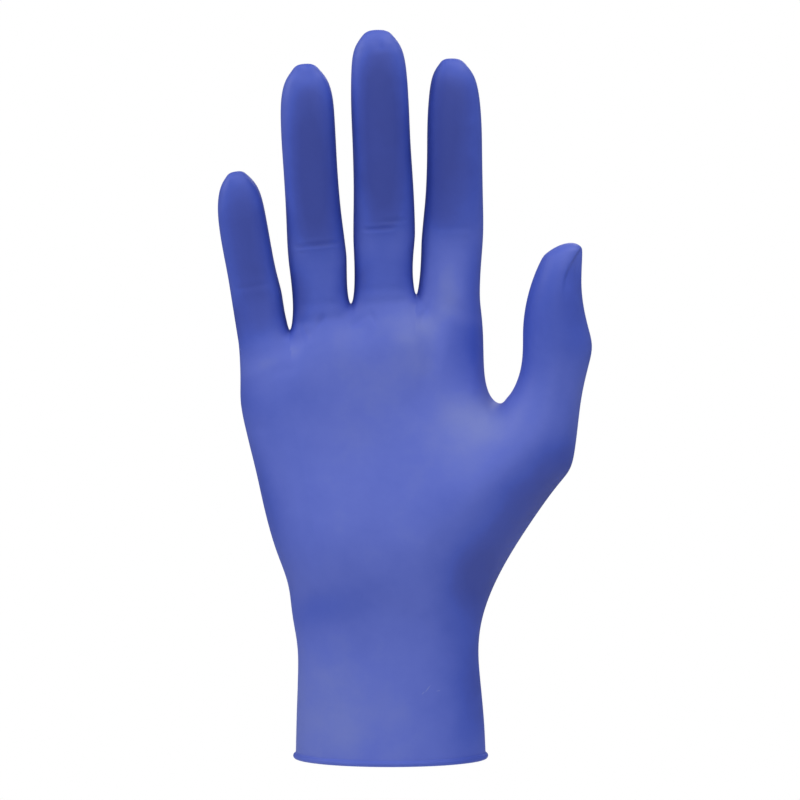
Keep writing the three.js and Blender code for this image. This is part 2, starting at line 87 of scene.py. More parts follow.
# How far the film sinks between the fingers at the three webs, in millimetres, and the share of a
# finger over which the slant of its two webs fades out.
WEB_SINK = (2.2, 0.6, 1.8)
SLANT_REACH = 0.3

# Sections of each finger, in shares of it, from its web to its tip. Their oval is boxier than an
# ellipse, for which the power would be 1.
FINGER_OVAL = 0.7
SECTION_COLUMNS = ("at", "left", "right", "thick", "curl")
FINGER_SECTIONS = {
    "little": [
        (0, 0.5, 0.5, 1.08, 0),
        (0.2, 0.505, 0.505, 1, 0.03),
        (0.3, 0.505, 0.475, 1.01, 0.09),
        (0.4, 0.505, 0.445, 0.99, 0.21),
        (0.6, 0.52, 0.43, 0.97, 0.5),
        (0.7, 0.515, 0.425, 0.95, 0.65),
        (0.8, 0.485, 0.41, 0.9, 0.79),
        (0.88, 0.42, 0.37, 0.8, 0.89),
        (0.94, 0.325, 0.27, 0.66, 0.95),
        (1, 0.14, 0.1, 0.3, 1),
    ],
    "ring": [
        (0, 0.48, 0.505, 1.1, 0),
        (0.15, 0.475, 0.51, 1.02, 0.015),
        (0.26, 0.5, 0.515, 1.03, 0.035),
        (0.32, 0.505, 0.5, 1.03, 0.1),
        (0.45, 0.49, 0.46, 0.98, 0.29),
        (0.6, 0.485, 0.445, 0.96, 0.52),
        (0.75, 0.485, 0.45, 0.91, 0.75),
        (0.87, 0.45, 0.44, 0.82, 0.9),
        (0.94, 0.36, 0.36, 0.66, 0.955),
        (1, 0.13, 0.13, 0.3, 1),
    ],
    "middle": [
        (0, 0.505, 0.51, 1.1, 0),
        (0.15, 0.48, 0.51, 1.02, 0.015),
        (0.25, 0.48, 0.55, 1.03, 0.035),
        (0.31, 0.473, 0.555, 1.03, 0.1),
        (0.45, 0.45, 0.54, 0.98, 0.31),
        (0.6, 0.45, 0.505, 0.96, 0.53),
        (0.75, 0.46, 0.49, 0.91, 0.75),
        (0.87, 0.435, 0.455, 0.82, 0.9),
        (0.94, 0.38, 0.385, 0.66, 0.955),
        (1, 0.16, 0.16, 0.3, 1),
    ],
    "index": [
        (0, 0.505, 0.515, 1.12, 0),
        (0.12, 0.475, 0.525, 1.05, 0),
        (0.26, 0.447, 0.557, 1.04, 0.01),
        (0.33, 0.427, 0.56, 1.03, 0.07),
        (0.45, 0.39, 0.54, 0.98, 0.26),
        (0.6, 0.38, 0.515, 0.96, 0.5),
        (0.75, 0.385, 0.49, 0.91, 0.74),
        (0.87, 0.355, 0.43, 0.8, 0.89),
        (0.94, 0.3, 0.34, 0.65, 0.95),
        (1, 0.13, 0.12, 0.3, 1),
    ],
}

# Sections of the thumb, from its root in the palm's edge to its tip. The inner edge faces the index
# finger. Outwards is in shares of the reach, and upwards in shares of the rise above the crotch, or
# of the root below it where it is negative.
THUMB_COLUMNS = ("at", "inner_out", "inner_up", "outer_out", "outer_up", "thick", "lean")
THUMB_SECTIONS = [
    (0, 0.05, 0, 0, -0.95, 1.35, 0.1),
    (0.07, 0.11, -0.012, 0.26, -0.805, 1.35, 0.15),
    (0.14, 0.15, -0.012, 0.39, -0.683, 1.33, 0.23),
    (0.22, 0.183, -0.01, 0.505, -0.57, 1.3, 0.32),
    (0.3, 0.21, 0.005, 0.625, -0.455, 1.26, 0.4),
    (0.385, 0.236, 0.024, 0.8, -0.34, 1.22, 0.48),
    (0.46, 0.288, 0.07, 0.853, -0.215, 1.17, 0.55),
    (0.53, 0.332, 0.135, 0.88, -0.07, 1.11, 0.61),
    (0.6, 0.364, 0.214, 0.91, 0.078, 1.05, 0.68),
    (0.67, 0.378, 0.312, 0.96, 0.23, 1.01, 0.75),
    (0.735, 0.375, 0.428, 1.002, 0.354, 1, 0.81),
    (0.795, 0.381, 0.515, 0.948, 0.475, 0.97, 0.86),
    (0.86, 0.411, 0.65, 0.896, 0.64, 0.91, 0.92),
    (0.915, 0.463, 0.767, 0.886, 0.775, 0.83, 0.95),
    (0.96, 0.533, 0.885, 0.9, 0.935, 0.62, 0.98),
    (1, 0.64, 1, 0.875, 0.968, 0.3, 1),
]

# The edge of the thumb's nail under the film, up and outwards as above. Outside it the film is
# pressed in by the depth, over the width, and the step starts and ends between two heights each.
NAIL_EDGE_COLUMNS = ("up", "out")
NAIL_EDGE = [(0.62, 0.7), (0.763, 0.715), (0.85, 0.775), (0.954, 0.871)]
NAIL_EDGE_STEP = {"depth": 1, "width": 1.3, "starts": (0.62, 0.82), "ends": (0.93, 0.97)}

# Level sections of the cuff, wrist and palm, up in shares of the web's height. The edges are shares
# of the half width of what the row follows, from its middle, and so are the depths. At 1, oval makes
# a plain ellipse, and less makes it boxier.
PALM_COLUMNS = ("up", "left", "right", "front", "back", "oval")
PALM_SECTIONS = {
    "cuff": [
        (0, -1, 1, 1, 1, 1),
        (0.095, -0.99, 0.98, 0.92, 0.96, 0.98),
    ],
    "wrist": [
        (0.17, -1, 1.03, 0.96, 1.03, 0.95),
        (0.25, -1, 1, 0.91, 1, 0.92),
        (0.315, -1.06, 0.8, 0.94, 0.98, 0.9),
    ],
    "knuckles": [
        (0.388, -0.58, 0.92, 1.1, 1.2, 0.87),
        (0.468, -0.69, 0.98, 1.18, 1.12, 0.85),
        (0.544, -0.77, 0.98, 1.14, 1.06, 0.85),
        (0.634, -0.845, 0.98, 1.06, 1.02, 0.85),
        (0.715, -0.92, 0.98, 0.97, 1, 0.84),
        (0.79, -0.978, 0.885, 0.88, 0.98, 0.82),
        (0.836, -0.975, 1.07, 0.82, 0.96, 0.8),
        (0.886, -0.978, 1.115, 0.78, 0.92, 0.78),
        (0.936, -0.99, 1.095, 0.74, 0.85, 0.78),
        (1.027, -1, 1.05, 0.6, 0.66, 0.78),
    ],
}

# Swellings of the palm's front, and hollows: across in shares of the knuckles' half width, up in
# shares of the web's height, the length and breadth in shares of the reach, how far they stand out in
# shares of the height, and the turn of the length from +X in degrees.
SWELLING = {"reach": 20, "height": 4}
SWELLINGS = {
    "ball of the thumb": (0.9, 0.6, 1.1, 1.3, 0.75, 0),
    "film from the palm to the thumb": (0.87, 0.6, 0.55, 1.5, 1.375, 0),
    "ridge up to the thumb's joint": (1.2, 0.63, 1.5, 0.65, 1, 42),
    "hollow under the thumb's ball": (0.95, 0.36, 0.6, 0.55, -0.625, 0),
    "heel of the hand": (-0.34, 0.46, 0.8, 1.1, 0.75, 0),
    "hollow of the palm": (0.12, 0.7, 0.85, 0.9, -0.625, 0),
    "pad below the index's web": (0.42, 0.925, 0.45, 0.4, 0.55, 0),
    "pad below the middle web": (-0.06, 0.905, 0.45, 0.4, 0.5, 0),
    "pad below the little finger": (-0.52, 0.86, 0.45, 0.4, 0.4, 0),
}

# Creases across the fingers, each a groove between two low rolls of film. The place along the finger,
# its ends and its rise to the right are shares of the finger, and the width and depth millimetres.
# The ends fade out over a share of the finger. A roll's place is in widths and its height in depths.
CREASE_FADE = 0.08
CREASE_ROLL = {"place": 1.9, "height": 0.4}
CREASE_COLUMNS = ("at", "left", "right", "rise", "wide", "deep")
CREASES = {
    "little": [
        (0.3, -0.36, 0.3, 0.004, 1, 0.12),
    ],
    "ring": [
        (0.309, -0.33, 0.4, 0.012, 0.6, 0.5),
        (0.085, -0.3, 0.36, 0, 1.1, 0.18),
        (0.02, -0.4, 0.4, 0.01, 1.2, 0.25),
    ],
    "middle": [
        (0.287, -0.28, 0.18, 0.01, 0.6, 0.5),
        (0.311, 0.02, 0.4, 0.012, 0.6, 0.42),
        (0.067, -0.36, 0.4, 0, 1.1, 0.2),
        (0.921, -0.46, 0.3, 0.025, 0.6, 0.14),
        (0.02, -0.3, 0.38, 0.01, 1.2, 0.2),
    ],
    "index": [
        (0.3, -0.3, 0.34, 0.01, 1, 0.1),
    ],
}

# Wrinkles over the joints on the backs of the fingers, as above.
BACK_WRINKLES = (
    (0.27, -0.32, 0.34, 0.006, 0.8, 0.2),
    (0.3, -0.38, 0.36, -0.004, 0.8, 0.3),
    (0.33, -0.3, 0.3, 0.004, 0.8, 0.22),
    (0.655, -0.26, 0.28, 0.004, 0.7, 0.18),
    (0.68, -0.28, 0.24, -0.004, 0.7, 0.15),
)

# Folds of the palm's front and the cuff: the middle across in shares of the knuckles' half width and
# up in shares of the web's height, half the length in millimetres, the turn from +X in degrees, and
# the width and depth in millimetres.
FOLDS = (
    (-0.31, 0.967, 2.6, 60, 0.7, 0.55),
    (-0.43, 0.945, 3, 118, 0.8, 0.45),
    (0.13, 0.975, 2.8, 118, 0.7, 0.5),
    (0.0, 0.968, 3.4, 28, 0.8, 0.45),
    (0.545, 0.985, 2.8, 62, 0.7, 0.45),
    (-0.6, 0.86, 5, 12, 1.6, 0.22),
    (-0.86, 0.735, 6, -4, 2, 0.25),
    (-0.46, 0.345, 15, 24, 5, 0.7),
    (0.32, 0.345, 14, -16, 5, 0.5),
)

# Light scratches on the cuff: the middle across and up as above, half the length and half the width in
# millimetres, and the turn from +X in degrees.
SCRATCHES = (
    (0.573, 0.167, 1.9, 0.22, 52),
    (0.535, 0.158, 0.8, 0.2, 48),
    (0.66, 0.162, 0.9, 0.18, 12),
)

# Low bumps and dimples of the slack film at the fingertips: along and across in shares of the finger,
# then the radius and the height in millimetres.
PUCKERS = {
    "little": [
        (0.955, -0.12, 2, 0.3),
        (0.965, 0.1, 1.7, -0.22),
        (0.9, 0.02, 2, 0.14),
    ],
    "ring": [
        (0.985, -0.1, 1.7, 0.35),
        (0.975, 0.12, 1.5, 0.3),
        (0.985, 0.02, 0.9, -0.25),
        (0.945, 0.04, 2, -0.18),
        (0.93, -0.2, 2, 0.22),
        (0.94, 0.24, 1.8, 0.16),
    ],
    "middle": [
        (0.955, -0.16, 2.4, 0.28),
        (0.95, 0.1, 1.1, 0.3),
        (0.935, 0.02, 1.3, -0.28),
        (0.93, 0.16, 1.2, 0.22),
        (0.97, 0.22, 1.5, 0.2),
    ],
    "index": [
        (0.965, -0.1, 2, 0.24),
        (0.945, 0.14, 1.8, 0.2),
        (0.93, -0.02, 1.6, -0.16),
    ],
}

# The knuckles and the nails under the film, on the back of each finger: along in shares of the
# finger, then half the breadth, half the length and the height in millimetres. The rim is where a
# nail falls off, and is 1 at its edge.
KNUCKLE = (-0.13, 8, 9, 1.6)
NAIL = (0.87, 6.2, 7.5, 0.35)
NAIL_RIM = (0.6, 1.3)

# How squarely the film has to face the front or the back, from none to all of a crease, and from none
# to all of a swelling. 1 faces it fully. A finger's creases end at a share of its width from its
# middle line.
CREASE_FACING = (0.15, 0.6)
SWELLING_FACING = (0, 0.9)
CREASES_END = 0.75

# How far the film pales, from 0 to the most: partly where the hand pulls it thin, and partly painted
# shade over the fingers above their middle joints and over the middle of the thumb, and painted light
# at their tips. Along each finger in shares of its length, and up the thumb in shares of its rise
# above the crotch.
MOST_PULL_AND_LIGHT = 1.3
PULL_AND_LIGHT_COLUMNS = ("at", "pull")
FINGER_PULL_AND_SHADE = {
    "little": [
        (-0.25, 0.95), (-0.08, 0.75), (0.05, 0.42), (0.3, 0.27),
        (0.8, 0.3), (0.9, 0.45), (1, 0.65),
    ],
    "ring": [
        (-0.12, 1), (-0.02, 0.95), (0.05, 0.6), (0.29, 0.48),
        (0.33, 0.24), (0.86, 0.22), (0.925, 0.5), (1, 0.62),
    ],
    "middle": [
        (-0.12, 1), (0, 0.95), (0.07, 0.55), (0.27, 0.5),
        (0.31, 0.24), (0.89, 0.22), (0.935, 0.6), (1, 0.62),
    ],
    "index": [
        (-0.12, 1.1), (0, 1.15), (0.14, 1.05), (0.26, 0.75), (0.35, 0.42),
        (0.48, 0.25), (0.6, 0.2), (0.86, 0.2), (0.93, 0.5), (1, 0.62),
    ],
}
THUMB_PULL_AND_SHADE = [(-0.6, 1), (-0.2, 1), (0.1, 0.85), (0.4, 0.52), (0.75, 0.5), (0.9, 0.75), (1, 0.8)]

# What a finger's two sides add to its paling, which paints light and shade on those sides: first on
# its left and its right below the middle joint, and then on both above it, where the number is a
# share of what is missing to the full pull there, painted light over the shade between the fingers.
# Along the finger the lower part grows over the start, and gives way to the upper one over the
# change. Across it a side grows between two shares of the width from its middle line, and the
# finger's paling ends on its right at EDGE_END.
EDGE_FULL = 0.9
EDGE_START = (-0.13, -0.03)
EDGE_CHANGE = (0.1, 0.32)
EDGE_SIDES = {"left": (0.05, 0.5), "right": (0, 0.5)}
EDGE_END = 0.8
EDGE_PAINTED_LIGHT = {
    "little": (-0.1, 0.1, 0.45, 0.5),
    "ring": (-0.5, 0.1, 0.75, 0.5),
    "middle": (-0.2, 0.1, 0.8, 0.6),
    "index": (-0.3, -0.5, 0.6, 0.45),
}

# Patches of painted shade and painted light on the fingers, darker or lighter: the middle along and
# across in shares of the finger, the reaches along and across in millimetres, and what they add to the
# paling.
PATCH_PAINTED_LIGHT_AND_SHADE = {
    "little": [(0.66, 0.12, 9, 5, -0.16), (0.3, 0.05, 9, 5, -0.08)],
    "ring": [(0.58, 0.14, 24, 6, -0.17), (0.72, -0.36, 22, 4.5, 0.14), (0.4, -0.4, 12, 3, -0.12)],
    "middle": [(0.74, 0.08, 9, 6, -0.12), (0.5, 0.16, 20, 6, -0.12), (0.62, -0.3, 34, 5, 0.16)],
    "index": [(0.66, -0.2, 24, 7, -0.24), (0.4, -0.38, 14, 5, -0.3)],
}

# Where the thumb's paling, its pull with painted light and shade, takes over from the palm's: over
# millimetres outwards from the palm's edge, and between shares of the crotch's height.
THUMB_OUT = (0, 12)
THUMB_UP = (0.75, 1.05)

# The palm's and the cuff's paling, partly from pull and partly a painted sheen, and what round places
# of painted light and painted shade add to it: across in shares of the knuckles' half width, up in
# shares of the web's height, the reaches in millimetres, the turn from +X in degrees and what they
# add. The bead loses some, since the film is rolled up many times there.
ROLLED = 0.25
PALM_PULL_AND_SHEEN = 0.95
PAINTED_LIGHT_PLACES = {
    "web of ring and middle": (-0.05, 0.96, 8, 6, 10, 0.2),
    "web of middle and index": (0.53, 0.965, 9, 7, 35, 0.3),
    "edge below the index": (0.97, 0.93, 9, 14, -18, -0.45),
    "edge of the hand": (-0.95, 0.8, 8, 9, 30, -0.3),
    "ball of the thumb": (1.1, 0.74, 19, 8, 25, 0.3),
    "thumb's lower edge": (1.45, 0.58, 30, 11, 52, -0.85),
    "under the ball": (1, 0.4, 11, 13, 0, -0.68),
    "wrist": (-0.25, 0.345, 20, 7, 18, -0.28),
    "thumb's outer edge": (1.74, 0.75, 9, 20, -12, -0.42),
    "edge of the hand, lower": (-0.78, 0.57, 26, 5, -74, -0.45),
    "below the little finger": (-0.9, 0.925, 7, 6, 0, -0.3),
    "ridge below the ring and little": (-0.65, 0.905, 11, 3.2, 30, 0.5),
    "hollow beside the heel": (-0.48, 0.8, 12, 6, 8, -0.13),
    "cuff's right": (0.97, 0.16, 9, 30, 0, -0.55),
    "cuff's left": (-0.3, 0.1, 22, 22, 0, 0.2),
    "below the middle and index": (0.3, 0.86, 16, 8, 20, 0.12),
    "under the thumb's crotch": (0.86, 0.78, 10, 7, 0, 0.22),
}

# How the cage is divided: faces across a finger's front and through its depth, and up the palm. The
# rows of a finger are closer at its middle joint, and are shares of what is below it and above it. At
# each level the subdivision halves every face both ways.
FRONT_FACES = 8
SIDE_FACES = 5
MIDDLE_JOINT = 0.3
ROWS_BELOW_JOINT = (0, 0.2, 0.4, 0.58, 0.73, 0.85, 0.93)
ROWS_ABOVE_JOINT = (0, 0.03, 0.07, 0.13, 0.22, 0.33, 0.45, 0.57, 0.68, 0.78, 0.86, 0.92, 0.965)
THUMB_ROWS = (
    0, 0.07, 0.14, 0.21, 0.27, 0.32, 0.355, 0.385, 0.415, 0.45,
    0.5, 0.56, 0.62, 0.68, 0.735, 0.79, 0.84, 0.89, 0.93, 0.965,
)
WRIST_ROWS = 10
ROOT_ROWS = 13
KNUCKLE_ROWS = 6
ROOT_MARGIN_FACES = 2
BEAD_FACES = 9
SMOOTHING_LEVELS = 2
LINING_LEVELS = 1

# How the film is smoothed at its joins: how many edges away it reaches, and the rounds. How near the
# palm's edges a column of the front comes, as a share of the knuckles' half width, and the step over
# which the run of a finger or the thumb is read, as a share of its length.
THUMB_JOIN = (6, 25)
WEB_JOIN = (4, 12)
OUTERMOST_COLUMN = 0.98
RUN_STEP = 0.05

# Lamps: the turn from the camera's side towards +X and the height in degrees, and watts. Each is a
# square softbox that faces the middle of the glove.
LAMP_DISTANCE = 900
LAMP_SIZE = 350
LAMP_AIM = 120
LAMPS = {
    "front": (0, 5, 0.7),
    "front high": (12, 38, 1.1),
    "left": (-78, 32, 2.1),
    "left high": (-48, 62, 0.5),
    "right high": (76, 62, 1.9),
    "top": (10, 80, 0.8),
    "low": (0, -35, 0.3),
    "back": (165, 35, 1),
}

# How bright the studio's walls are in front of the glove and behind it. They change between two values
# of the direction's part along +Y, which is -1 in front and 1 behind.
FRONT_WALL = 0.52
BACK_WALL = 0.2
WALL_CHANGE = (-0.4, 0.9)

# The floor's edges and height, and the camera, which looks along +Y.
FLOOR = {"left": -250, "right": 250, "front": -220, "back": 280, "height": -60}
CAMERA = {"place": (3.04, -800, 117.7), "lens": 109.5, "sensor": 36, "nearest": 10}

# The film's colours from slack to most pale: it is dyed through, and pales where the hand pulls it thin,
# and these stops also carry painted light and painted shade. Then the floor's colour.
NITRILE_WITH_PAINTED_LIGHT = ((0, "2B3F9D"), (0.24, "3449AB"), (0.38, "3B52B8"), (0.75, "5466C4"), (1, "6B79C2"))
FLOOR_WHITE = "F2F2F0"

# Sizes of the film's patterns: the mottle of the dip, its slack waves, and its grain. The real grain
# is too fine to show in the render, and is drawn coarser so that it does.
MOTTLE = 11.11
SLACK_WAVE = 6.25
GRAIN = 1.111

# How far the mottle shifts the colour along its stops, the roughness and what the mottle adds to it,
# and the scratches: the share of them that is fully pale, and how far they shift the colour.
MOTTLE_SHIFT = 0.3
ROUGHNESS = {"least": 0.5, "mottle": 0.12}
SCRATCH = {"solid": 0.4, "shift": 0.3}


def curves_through(columns, rows):
    """Smooth curves over the first column that run through every row, one for each other column.

    Between two rows it is the cubic whose slope at each of them is the mean of the slopes of the
    straight lines that meet there.
    """
    table = np.array(rows, float)
    at, values = table[:, 0], table[:, 1:]
    chords = np.diff(values, axis=0) / np.diff(at)[:, None]
    slopes = np.vstack([chords[:1], (chords[1:] + chords[:-1]) / 2, chords[-1:]])

    def curves(share):
        share = np.clip(np.asarray(share, float), at[0], at[-1])
        row = np.clip(np.searchsorted(at, share, side="right") - 1, 0, len(at) - 2)
        gap = (at[row + 1] - at[row])[..., None]
        t = (share - at[row])[..., None] / gap
        start = values[row] * (1 + 2 * t) + slopes[row] * gap * t
        end = values[row + 1] * (3 - 2 * t) - slopes[row + 1] * gap * (1 - t)
        found = start * (1 - t) ** 2 + end * t**2
        return dict(zip(columns[1:], np.moveaxis(found, -1, 0)))

    return curves


def ease(value, low, high):
    """0 below low, 1 above high, and the smooth step 3t² - 2t³ between them."""
    t = np.clip((value - low) / (high - low), 0, 1)
    return t * t * (3 - 2 * t)


def unit(vectors):
    """The same directions with a length of 1."""
    return vectors / np.maximum(np.linalg.norm(vectors, axis=-1, keepdims=True), 1e-12)


class Cage:
    """The points and the four-sided faces of a coarse mesh, gathered block by block."""

    def __init__(self):
        self.points = np.zeros((0, 3))
        self.faces = np.zeros((0, 4), int)

    def add(self, block):
        """Adds an array of points, and returns their numbers in an array of the same shape."""
        start = len(self.points)
        self.points = np.vstack([self.points, block.reshape(-1, 3)])
        return np.arange(start, len(self.points)).reshape(block.shape[:-1])

    def sheet(self, grid, keep=None):
        """Faces between the neighbours of a grid of point numbers, where keep allows them."""
        corners = [grid[:-1, :-1], grid[:-1, 1:], grid[1:, 1:], grid[1:, :-1]]
        faces = np.stack(corners, axis=-1)
        self.faces = np.vstack([self.faces, faces[keep] if keep is not None else faces.reshape(-1, 4)])

    def tube(self, rings):
        """Faces round a stack of rings of point numbers, the lowest ring first."""
        self.sheet(np.column_stack([rings, rings[:, :1]]))

    def normals(self):
        """The outward direction at each point: the sum of the normals of its faces."""
        a, b, c, d = (self.points[self.faces[:, i]] for i in range(4))
        across = np.cross(c - a, d - b)
        total = np.zeros_like(self.points)
        for i in range(4):
            np.add.at(total, self.faces[:, i], across)
        return unit(total)

    def relax(self, seeds, reach, rounds):
        """Smooths the film at a join, as a stretched film spans a valley.

        In each round a point moves towards the mean of its neighbours, by half at the join and by
        evenly less down to nothing beyond `reach` edges from it.
        """
        sides = np.vstack([self.faces[:, [i, (i + 1) % 4]] for i in range(4)])
        edges = np.unique(np.sort(sides, axis=1), axis=0)
        steps = np.full(len(self.points), np.inf)
        steps[seeds] = 0
        for step in range(reach):
            near = edges[(steps[edges] == step).any(axis=1)]
            steps[near] = np.minimum(steps[near], step + 1)
        pull = 0.5 * np.clip(1 - steps / (reach + 1), 0, 1)[:, None]
        count = np.bincount(edges.ravel(), minlength=len(self.points))[:, None].clip(1)
        for _ in range(rounds):
            total = np.zeros_like(self.points)
            np.add.at(total, edges[:, 0], self.points[edges[:, 1]])
            np.add.at(total, edges[:, 1], self.points[edges[:, 0]])
            self.points += pull * (total / count - self.points)


def rounded(share, oval):
    """A cosine or sine, raised to the power `oval` with its sign kept."""
    return np.sign(share) * np.abs(share) ** oval


def section_rings(left, right, front, across, through, oval):
    """Rings of points, one for each pair of edges, from the front left corner round by the right.

    Each is an oval, its middle halfway between the edges: minus the rounded cosine of the angle times
    the half width, plus its rounded sine times the vector to the front.
    """
    count = 2 * (across + through)
    angle = 2 * math.pi / count * (through / 2 + np.arange(count))[:, None]
    cos, sin = rounded(np.cos(angle), oval), rounded(np.sin(angle), oval)
    middle = ((left + right) / 2)[:, None]
    return middle - cos * (right[:, None] - middle) + sin * front[:, None]


def dome(cage, ring, across, through, rise):
    """Closes a ring of point numbers with a dome.

    It is the flat patch that blends the ring's four sides, lifted by the rise times (1 - u²)(1 - v²),
    where u and v run from -1 to 1 across it.
    """
    corner = len(ring)
    grid = np.zeros((across + 1, through + 1), int)
    grid[:, through] = ring[2 * across + through - np.arange(across + 1)]
    grid[0, 1:] = ring[corner - np.arange(1, through + 1)]
    grid[across, :] = ring[across + np.arange(through + 1)]
    grid[:, 0] = ring[: across + 1]
    edge = cage.points[grid]
    u = (np.arange(1, across) / across)[:, None, None]
    v = (np.arange(1, through) / through)[None, :, None]
    flat = edge[1:-1, :1] * (1 - v) + edge[1:-1, -1:] * v
    flat = flat + edge[:1, 1:-1] * (1 - u) + edge[-1:, 1:-1] * u
    flat = flat - (1 - u) * ((1 - v) * edge[0, 0] + v * edge[0, -1])
    flat = flat - u * ((1 - v) * edge[-1, 0] + v * edge[-1, -1])
    lift = (1 - (2 * u - 1) ** 2) * (1 - (2 * v - 1) ** 2)
    grid[1:-1, 1:-1] = cage.add(flat + lift * rise)
    cage.sheet(grid.T)


def tube_to_tip(cage, root, section, shares, across, through, oval):
    """A finger or thumb: rings of points at shares of its length, and then a dome at its tip."""
    left, right, front = section(np.append(shares, 1))
    rings = section_rings(left[1:-1], right[1:-1], front[1:-1], across, through, oval)
    rings = np.vstack([root[None], cage.add(rings)])
    cage.tube(rings)
    rise = (left[-1] + right[-1] - left[-2] - right[-2]) / 2
    dome(cage, rings[-1], across, through, rise)


def finger_frame(name):
    """The size and place of a finger: its shares of the middle finger, base and directions."""
    shares = {each: dict(zip(FINGER_COLUMNS, row)) for each, row in FINGERS.items()}
    finger = shares[name]
    widths = {each: row["width"] * FINGER["width"] for each, row in shares.items()}
    order = list(FINGERS)
    left_web, right_web = np.array(WEBS)[order.index(name): order.index(name) + 2] * WEB_HEIGHT
    total = sum(widths.values()) + WEB_GAP * (len(order) - 1)
    left = KNUCKLE_CENTRE - total / 2
    left += sum(widths[each] + WEB_GAP for each in order[: order.index(name)])
    lean = math.radians(finger["lean"])
    return {
        "width": widths[name],
        "length": finger["length"] * FINGER["length"],
        "thick": finger["thick"] * FINGER["thick"],
        "curl": finger["curl"] * FINGER["curl"],
        "slant": (right_web - left_web) / 2,
        "base": np.array([left + widths[name] / 2, 0, (left_web + right_web) / 2]),
        "up": np.array([math.sin(lean), 0, math.cos(lean)]),
        "side": np.array([math.cos(lean), 0, -math.sin(lean)]),
    }


def finger_section(name):
    """A function from shares of a finger's length to its left and right edges and front vectors."""
    finger = finger_frame(name)
    along = curves_through(SECTION_COLUMNS, FINGER_SECTIONS[name])

    def edge(at, shift, rise):
        run = at * finger["length"] + rise * np.maximum(0, 1 - at / SLANT_REACH)
        place = finger["base"] + run[:, None] * finger["up"]
        place = place + (shift * finger["width"])[:, None] * finger["side"]
        place[:, 1] -= finger["curl"] * along(at)["curl"]
        return place

    def middle(at):
        row = along(at)
        return edge(at, (row["right"] - row["left"]) / 2, 0)

    def section(at):
        row = along(at)
        run = middle(np.minimum(at + RUN_STEP, 1)) - middle(np.maximum(at - RUN_STEP, 0))
        half = (row["thick"] * finger["thick"] / 2)[:, None]
        front = -unit(np.cross(run, finger["side"])) * half
        return edge(at, -row["left"], -finger["slant"]), edge(at, row["right"], finger["slant"]), front

    return section


def knuckle_width():
    """The width of the row of knuckles, with the gaps of the webs."""
    shares = np.array(list(FINGERS.values()))[:, 0]
    return shares.sum() * FINGER["width"] + WEB_GAP * (len(FINGERS) - 1)


def knuckle_edge():
    """How far out the row of knuckles ends on the thumb's side."""
    return KNUCKLE_CENTRE + knuckle_width() / 2


def thumb_section(at):
    """The thumb's inner and outer edges and front vectors at shares of its length from the root."""
    along = curves_through(THUMB_COLUMNS, THUMB_SECTIONS)

    def edges(share):
        row = along(share)
        found = []
        for which in ("inner", "outer"):
            out, up = row[which + "_out"], row[which + "_up"]
            height = CROTCH + up * np.where(up > 0, THUMB["rise"], THUMB["root"])
            forward = -row["lean"] * THUMB["forward"]
            found.append(np.column_stack([knuckle_edge() + out * THUMB["reach"], forward, height]))
        return found

    inner, outer = edges(at)
    run = sum(edges(np.minimum(at + RUN_STEP, 1))) - sum(edges(np.maximum(at - RUN_STEP, 0)))
    half = (along(at)["thick"] * THUMB["thick"] / 2)[:, None]
    return inner, outer, -unit(np.cross(run, outer - inner)) * half


def palm_curves():
    """The palm's edges, depths and oval as smooth curves over the height in millimetres."""
    knuckles = {"middle": KNUCKLE_CENTRE, "half": knuckle_width() / 2, **PALM_DEPTHS}
    rows = []
    for name, span in (("cuff", CUFF), ("wrist", WRIST), ("knuckles", knuckles)):
        for up, left, right, front, back, oval in PALM_SECTIONS[name]:
            left = span["middle"] + left * span["half"]
            right = span["middle"] + right * span["half"]
            rows.append((up * WEB_HEIGHT, left, right, front * span["front"], back * span["back"], oval))
    return curves_through(PALM_COLUMNS, rows)


def palm_points(angles, heights):
    """Points round level sections of the palm, an array of heights by angles from the left edge.

    The cosine and the sine of the angle, each raised to the power `oval` with its sign kept, place a
    point between the edges and between the plane of the hand and the front or the back.
    """
    row = palm_curves()(heights)
    across, forward = rounded(np.cos(angles), row["oval"]), rounded(np.sin(angles), row["oval"])
    depth = np.where(forward > 0, row["front"], row["back"])
    x = (row["left"] + row["right"]) / 2 - across * (row["right"] - row["left"]) / 2
    return np.stack(np.broadcast_arrays(x, -forward * depth, heights), axis=-1)


def column_angles(cage, top):
    """Where each column of the palm stands round a level section, as an angle from its left edge."""
    front_count = len(FINGERS) * (FRONT_FACES + 1)
    share = (cage.points[top[:front_count], 0] - KNUCKLE_CENTRE) / (knuckle_width() / 2)
    front = np.arccos(-np.clip(share, -OUTERMOST_COLUMN, OUTERMOST_COLUMN))
    turn = 2 * math.pi
    step = np.arange(1, SIDE_FACES) / SIDE_FACES
    right = front[-1] + (turn - 2 * front[-1]) * step
    left = turn - front[0] + 2 * front[0] * step
    return np.concatenate([front, right, turn - front[::-1], left])


def add_fingers(cage):
    """Adds the four fingers, and returns the ring of point numbers at the root of each."""
    below = np.array(ROWS_BELOW_JOINT) * MIDDLE_JOINT
    above = MIDDLE_JOINT + np.array(ROWS_ABOVE_JOINT) * (1 - MIDDLE_JOINT)
    shares = np.append(below, above)
    rings = []
    for name in FINGERS:
        section = finger_section(name)
        root = section_rings(*section(np.zeros(1)), FRONT_FACES, SIDE_FACES, FINGER_OVAL)
        rings.append(cage.add(root)[0])
        tube_to_tip(cage, rings[-1], section, shares, FRONT_FACES, SIDE_FACES, FINGER_OVAL)
    return rings


def add_webs(cage, rings):
    """Adds the film from each finger's root to the next one's, and returns each web's point numbers."""
    webs = []
    for left, right in zip(rings, rings[1:]):
        facing = left[FRONT_FACES: FRONT_FACES + SIDE_FACES + 1]
        web = np.column_stack([facing, right[-np.arange(SIDE_FACES + 1)]])
        cage.sheet(web)
        webs.append(web.ravel())
    return webs


